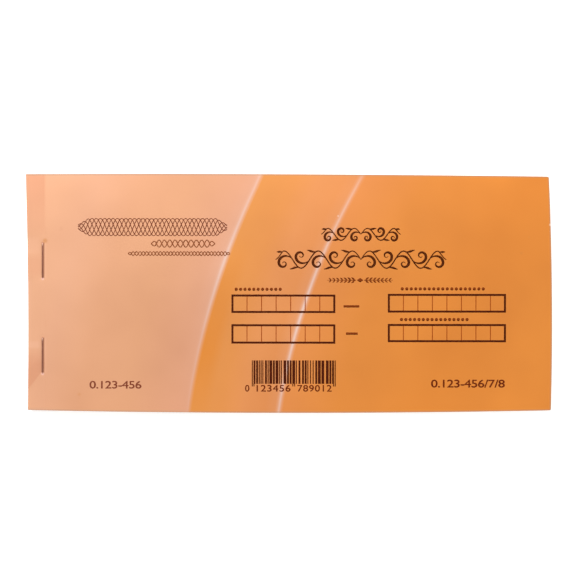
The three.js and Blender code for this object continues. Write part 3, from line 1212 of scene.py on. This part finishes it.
# %% Dotted leaders and dashes
# Each leader's left, right, height on the page, dot size and pitch, and each dash's left, right and height
LEADERS = [
    (-20.2, -3.4, 1.5, 1.25, 1.68),
    (43.2, 74.3, 1.7, 1.25, 1.72),
    (42.9, 68.0, -10.0, 1.25, 1.67),
]
DASHES = [(20.8, 26.8, -5.0), (21.7, 26.2, -15.4)]
DASH_WIDTH, DASH_POINTS = 0.85, 5
# A dot is a stroke as long as it is wide: shares of its radius along it, and of its size across it
DOT_PROFILE = [(-1, 0.1), (-0.75, 0.66), (-0.3, 0.95), (0.3, 0.95), (0.75, 0.66), (1, 0.1)]


def dots(left, right, y, size, pitch):
    """A row of round dots."""
    strokes = []
    for i in range(int((right - left) / pitch) + 1):
        x = left + i * pitch
        path = [(x + size * along / 2, y) for along, _ in DOT_PROFILE]
        strokes.append((path, [size * across for _, across in DOT_PROFILE]))
    return strokes


def dash(left, right, y):
    """A short line of even width."""
    last = DASH_POINTS - 1
    path = [(left + (right - left) * i / last, y) for i in range(DASH_POINTS)]
    return path, [DASH_WIDTH] * DASH_POINTS


leaders = draw_strokes("dotted_leaders", [stroke for leader in LEADERS for stroke in dots(*leader)])
lay_print(leaders, fine_ink)
dashes = draw_strokes("dashes", [dash(*ends) for ends in DASHES])
lay_print(dashes, fine_ink)

# %% Bar block
BARS_LEFT, BARS_RIGHT = -14.2, 17.8
BARS_TOP, BARS_BOTTOM, GUARD_BOTTOM = -25.65, -34.6, -35.6
MODULES = 95
INK_SPREAD = 0.03
# Two bars at each end and two in the middle reach lower than the others
GUARD = [1, 0, 1]
GUARD_MODULES = {0, 2, 46, 48, 92, 94}

module = (BARS_RIGHT - BARS_LEFT) / MODULES
dice = random.Random(7)
bars = [0, 1, 0, 1]
while len(bars) < MODULES - len(GUARD):
    for width in (dice.choice((1, 1, 2)), dice.choice((1, 2, 2, 3))):
        bars += [1 - bars[-1]] * width
bars = GUARD + bars[len(GUARD) : MODULES - len(GUARD)] + GUARD

columns = [BARS_LEFT]
for i in range(1, MODULES):
    spread = INK_SPREAD * (bars[i - 1] - bars[i])
    columns.append(BARS_LEFT + i * module + spread)
columns.append(BARS_RIGHT)
bar_block = ruled_grid("bar_block", columns, [GUARD_BOTTOM, BARS_BOTTOM, BARS_TOP])


def between_bars(middle):
    number = min(MODULES - 1, int((middle[0] - BARS_LEFT) / module))
    return not bars[number] or (middle[1] < BARS_BOTTOM and number not in GUARD_MODULES)


delete_faces(bar_block, between_bars)
thicken(bar_block, INK_FILM)
lay_print(bar_block, frame_ink)
print("bar block:", sum(bars), "modules inked of", MODULES)

# %% Figures below the bars and beside them
# Each run of figures with its left, right, bottom and top
FIGURES = [
    ("0", -16.8, -15.1, -37.6, -35.0),
    ("123456", -12.4, 0.6, -37.6, -35.0),
    ("789012", 3.2, 16.3, -37.6, -35.0),
]
CODES = [("0.123-456", -76.2, -56.3, -36.5, -33.5), ("0.123-456/7/8", 54.2, 82.4, -36.0, -32.9)]
FIGURE_SPACING, CODE_SPACING = 1.1, 0.95
# The type is 0.7 high when its strokes are made bolder by this much, before it is fitted to its place
BOLDER = 0.024
# Vertices closer than this are one
MERGE = 0.001


def merge_doubles(piece):
    """Merge what lies in one place and turn all faces outwards, which leaves the piece in edit mode."""
    select_only(piece)
    bpy.ops.object.mode_set(mode="EDIT")
    bpy.ops.mesh.select_all(action="SELECT")
    bpy.ops.mesh.remove_doubles(threshold=MERGE * MM)
    bpy.ops.mesh.normals_make_consistent(inside=False)


def set_figures(text, left, right, bottom, top, spacing):
    """Figures in Blender's own plain type, made bolder, as a mesh that fills its place."""
    bpy.ops.object.select_all(action="DESELECT")
    bpy.ops.object.text_add()
    figures = bpy.context.object
    figures.data.body = text
    figures.data.space_character = spacing
    figures.data.extrude = INK_FILM / 2 * MM
    figures.data.resolution_u = 4
    bpy.ops.object.convert(target="MESH")
    figures = bpy.context.object
    merge_doubles(figures)
    bpy.ops.transform.shrink_fatten(value=BOLDER)
    bpy.ops.object.mode_set(mode="OBJECT")
    spots = spots_of(figures)
    for axis, start, end in ((0, left, right), (1, bottom, top)):
        low, high = spots[:, axis].min(), spots[:, axis].max()
        spots[:, axis] = np.interp(spots[:, axis], (low, high), (start, end))
    spots[:, 2] = np.sign(spots[:, 2]) * INK_FILM / 2
    put_spots(figures, spots)
    return figures


bar_figures = join_pieces(*[set_figures(*figure, FIGURE_SPACING) for figure in FIGURES])
bar_figures.name = "bar_figures"
lay_print(bar_figures, figure_ink)
left_code, right_code = [set_figures(*code, CODE_SPACING) for code in CODES]
left_code.data.materials.append(band_ink)
right_code.data.materials.append(figure_ink)
code_figures = join_pieces(left_code, right_code)
code_figures.name = "code_figures"
lay_print(code_figures)
low, high = spots_of(bar_figures).min(0), spots_of(bar_figures).max(0)
print("figures from", low.round(2), "to", high.round(2))

# %% [markdown]
# ### The form on the sheets
#
# Each sheet is printed with the same form: a frame at the top left, a row of cells and a box at the top
# right, lines to write on, a box for the amount and two lines to sign on. The form is drawn once, as fine
# strokes without any words, and copied onto the white sheet of each set and onto the first set's yellow and
# pink sheets.

# %% Draw the form
FORM_FILM, FORM_CLEARANCE = 0.004, 0.002
FORM_LEFT, FORM_RIGHT, FORM_TOP = -82, 94, 39
HAIRLINE, FINE_LINE, BOLD_LINE = 0.25, 0.3, 0.9
THIN_FRAME, CELLS_FRAME, AMOUNT_FRAME = 0.35, 0.5, 0.6
CELLS_LEFT, CELLS_BOTTOM, CELL_PITCH, CELL_COUNT = 52, 30, 6, 7
FIRST_LINE, LINE_PITCH, LINE_COUNT = 12, 8.5, 4
POINT_PITCH = 5
form_ink = offset_ink("blue_grey_offset_ink", "4E5F86", "42527A")


def straight(x0, y0, x1, y1, width):
    """A ruled line, with points close enough for it to follow the paper."""
    count = max(1, math.ceil(max(abs(x1 - x0), abs(y1 - y0)) / POINT_PITCH))
    path = [(x0 + (x1 - x0) * i / count, y0 + (y1 - y0) * i / count) for i in range(count + 1)]
    return path, [width] * len(path)


def level(left, right, y, width):
    return straight(left, y, right, y, width)


def ruled_frame(left, right, bottom, top, width):
    over = width / 2
    return [
        level(left - over, right + over, bottom, width),
        level(left - over, right + over, top, width),
        straight(left, bottom, left, top, width),
        straight(right, bottom, right, top, width),
    ]


form_strokes = ruled_frame(FORM_LEFT, -20, 20, FORM_TOP, THIN_FRAME)
form_strokes += ruled_frame(CELLS_LEFT, FORM_RIGHT, CELLS_BOTTOM, FORM_TOP, CELLS_FRAME)
for i in range(1, CELL_COUNT):
    cell_x = CELLS_LEFT + CELL_PITCH * i
    form_strokes.append(straight(cell_x, CELLS_BOTTOM, cell_x, FORM_TOP, HAIRLINE))
form_strokes += ruled_frame(CELLS_LEFT, FORM_RIGHT, 20, 27, THIN_FRAME)
form_strokes += [level(-12, 44, 33, BOLD_LINE), level(-12, 44, 30.8, FINE_LINE)]
for i in range(LINE_COUNT):
    form_strokes.append(level(FORM_LEFT, FORM_RIGHT, FIRST_LINE - LINE_PITCH * i, FINE_LINE))
form_strokes += ruled_frame(FORM_LEFT, -22, -38, -25, AMOUNT_FRAME)
form_strokes += [level(-10, 36, -37, FINE_LINE), level(48, FORM_RIGHT, -37, FINE_LINE)]
printed_form = draw_strokes("printed_form", form_strokes)
spots = spots_of(printed_form)
spots[:, 2] *= FORM_FILM / INK_FILM
put_spots(printed_form, spots)
print("form:", len(printed_form.data.polygons), "faces")


# %% Print the form on the sheets
def print_form(name, height, body):
    form = copy_of(printed_form, name)
    form.data.materials.append(form_ink)
    shift(form, z=height + SHEET + FORM_CLEARANCE + FORM_FILM / 2)
    settle(form)
    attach(form, body)


for label, (height, body) in white_leaves.items():
    print_form("white_form_" + label, height, body)
top_white = white_leaves["01"][0]
print_form("yellow_form_01", top_white - STEP, "yellow_01")
print_form("pink_form_01", top_white - 2 * STEP, "block")
bpy.data.objects.remove(printed_form)

# %% [markdown]
# ## The back board
#
# Grey board is pressed from waste paper: firm, matt, brownish grey, with light and dark fibres that one can
# pick out at arm's length. Its outline and the grooves where the staples' ends are pressed in are already
# in the measured model, so its mesh is copied, merged and cut across in several places, which gives it
# vertices that can follow the knife's bow.

# %% Grey board
FIBRE_LENGTH = 1.2
# The fibres lie along the board, so their pattern is drawn out that way
FIBRE_DIRECTION = (0.45, 1.0, 1.0)
FLECK_SPACING = 3.0

grey_board, tree, surface = new_material("pressed_grey_board")
in_mm = own_millimetres(tree)
along = add_node(tree, "Mapping", {"Vector": in_mm, "Scale": FIBRE_DIRECTION}).outputs[0]
pulp = add_node(tree, "TexNoise", {"Vector": along, "Scale": 2 / FIBRE_LENGTH, "Detail": 8.0})
fibres = pulp.outputs["Fac"]
stops = [(0.3, "9A9388"), (0.5, "A39C90"), (0.7, "ABA498")]
tone = add_node(tree, "ValToRGB", {"Fac": fibres}, stops=stops)
flecks = add_node(tree, "TexVoronoi", {"Vector": in_mm, "Scale": 1 / FLECK_SPACING}).outputs["Distance"]
stops = [(0.06, "A0A0A0"), (0.13, "000000")]
fleck_mask = add_node(tree, "ValToRGB", {"Fac": flecks}, stops=stops)
flecked = add_node(
    tree,
    "Mix",
    {"Factor": fleck_mask.outputs["Color"], "A": tone.outputs["Color"], "B": colour("6A6259")},
    data_type="RGBA",
)
relief = add_node(tree, "Bump", {"Height": fibres, "Strength": 0.12, "Distance": GRAIN_DEPTH * MM})
tree.links.new(flecked.outputs["Result"], surface.inputs["Base Color"])
tree.links.new(relief.outputs["Normal"], surface.inputs["Normal"])
surface.inputs["Roughness"].default_value = 0.92

# %% Cut the board so that it can follow the knife
CUTS = (-0.75, -0.5, -0.25, 0, 0.25, 0.5, 0.75)

board = copy_of(frame["nodes"]["back_board"], "grey_back_board")
del board["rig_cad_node"]
select_only(board)
bpy.ops.object.mode_set(mode="EDIT")
bpy.ops.mesh.select_all(action="SELECT")
bpy.ops.mesh.remove_doubles(threshold=MERGE * MM)
bpy.ops.mesh.tris_convert_to_quads()
for share in CUTS:
    for place, normal in (((share * RIGHT, 0, 0), (1, 0, 0)), ((0, share * TOP, 0), (0, 1, 0))):
        bpy.ops.mesh.select_all(action="SELECT")
        bpy.ops.mesh.bisect(plane_co=[value * MM for value in place], plane_no=normal)
bpy.ops.object.mode_set(mode="OBJECT")
trim(board)
board.data.materials.clear()
board.data.materials.append(grey_board)
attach(board, "block")
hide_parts("back_board")
print("board:", len(board.data.polygons), "faces")

# %% [markdown]
# ## The staples
#
# Flat-clinched stitching wire, half a millimetre thick: thin steel with a copper wash against rust. The
# wash has worn to a dull brown along the wire, and each bend carries a painted highlight, the upper one the
# larger. Half a staple is drawn as a wire is bent: a circle is extruded along the crown, spun round the
# shoulder, extruded down the leg, spun round the lower bend and extruded along the clinch. A mirror makes
# the other half.

# %% Copper-washed steel wire
# Wire is drawn through a die, so its marks are long and narrow
DRAWN_MARKS = (8.0, 0.6, 8.0)
# How far each bend's painted highlight reaches, and how strong it is
LOWER_GLINT, UPPER_GLINT, GLINT_STRENGTH = 0.5, 1.6, 0.8

staple_wire, tree, surface = new_material("copper_washed_steel_wire")
in_mm = own_millimetres(tree)
drawn = add_node(tree, "Mapping", {"Vector": in_mm, "Scale": DRAWN_MARKS}).outputs[0]
wear = add_node(tree, "TexNoise", {"Vector": drawn, "Scale": 1.0, "Detail": 4.0}).outputs["Fac"]
dull = add_node(tree, "ValToRGB", {"Fac": wear}, stops=[(0.3, "8E5A48"), (0.72, "B58470")])
gloss = add_node(tree, "MapRange", {"Value": wear, "To Min": 0.30, "To Max": 0.52})
along_wire = add_node(tree, "SeparateXYZ", {"Vector": in_mm}).outputs["Y"]
shade = dull.outputs["Color"]
# Each bend gets a painted highlight in the base colour, the upper one reaching further
for low_y, high_y in crown_spans:
    for bend_y, reach in ((low_y, LOWER_GLINT), (high_y, UPPER_GLINT)):
        painted_glint = near_line(tree, along_wire, bend_y, reach, reach / 2, GLINT_STRENGTH)
        glint_mix = {"Factor": painted_glint, "A": shade, "B": colour("E6BDA8")}
        shade = add_node(tree, "Mix", glint_mix, data_type="RGBA").outputs["Result"]
tree.links.new(shade, surface.inputs["Base Color"])
tree.links.new(gloss.outputs[0], surface.inputs["Roughness"])
surface.inputs["Metallic"].default_value = 1.0

# %% Bend one staple
BEND = 0.4
BEND_STEPS = 5
CLINCH = 4.6
WIRE_SIDES = 14
WIRE_SMOOTH = 40
CROWN_Z = crown_high[2] - WIRE / 2
CLINCH_Z = crown_low[2] + WIRE / 2


def bend_wire(centre_y, centre_z):
    """Spin the open end by a right angle about a line across the wire."""
    bpy.ops.mesh.spin(
        steps=BEND_STEPS,
        angle=math.radians(90),
        center=(STAPLE_X * MM, centre_y * MM, centre_z * MM),
        axis=(1, 0, 0),
    )


def draw_wire(y=0.0, z=0.0):
    bpy.ops.mesh.extrude_region_move(TRANSFORM_OT_translate={"value": (0, y * MM, z * MM)})


def make_staple(name, low_y, high_y):
    """A staple whose crown reaches between these two y, outside to outside."""
    middle, leg = (low_y + high_y) / 2, (high_y - low_y) / 2 - WIRE / 2
    bpy.ops.object.select_all(action="DESELECT")
    bpy.ops.mesh.primitive_circle_add(
        vertices=WIRE_SIDES,
        radius=WIRE / 2 * MM,
        location=(STAPLE_X * MM, middle * MM, CROWN_Z * MM),
        rotation=(math.pi / 2, 0, 0),
    )
    staple = bpy.context.object
    staple.name = staple.data.name = name
    bpy.ops.object.transform_apply(location=True, rotation=True, scale=True)
    bpy.ops.object.mode_set(mode="EDIT")
    bpy.ops.mesh.select_mode(type="VERT")
    bpy.ops.mesh.select_all(action="SELECT")
    draw_wire(y=leg - BEND)
    bend_wire(middle + leg - BEND, CROWN_Z - BEND)
    draw_wire(z=-(CROWN_Z - CLINCH_Z - 2 * BEND))
    bend_wire(middle + leg - BEND, CLINCH_Z + BEND)
    draw_wire(y=-(CLINCH - BEND))
    bpy.ops.mesh.edge_face_add()
    bpy.ops.object.mode_set(mode="OBJECT")
    shift(staple, y=-middle)
    bpy.ops.object.modifier_add(type="MIRROR")
    mirror = staple.modifiers[-1]
    mirror.use_axis = (False, True, False)
    bpy.ops.object.modifier_apply(modifier=mirror.name)
    shift(staple, y=middle)
    merge_doubles(staple)
    bpy.ops.object.mode_set(mode="OBJECT")
    bpy.ops.object.shade_smooth_by_angle(angle=math.radians(WIRE_SMOOTH))
    staple.data.materials.append(staple_wire)
    return staple


for node, (low_y, high_y) in zip(("upper_staple", "lower_staple"), crown_spans):
    staple = make_staple(node.replace("staple", "wire_staple"), low_y, high_y)
    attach(staple, "block")
    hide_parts(node)
    spots = spots_of(staple)
    off = np.abs(np.array([spots.min(0), spots.max(0)]) - measured(node))
    print(staple.name, "differs from its node by at most", off.max().round(3), "mm")
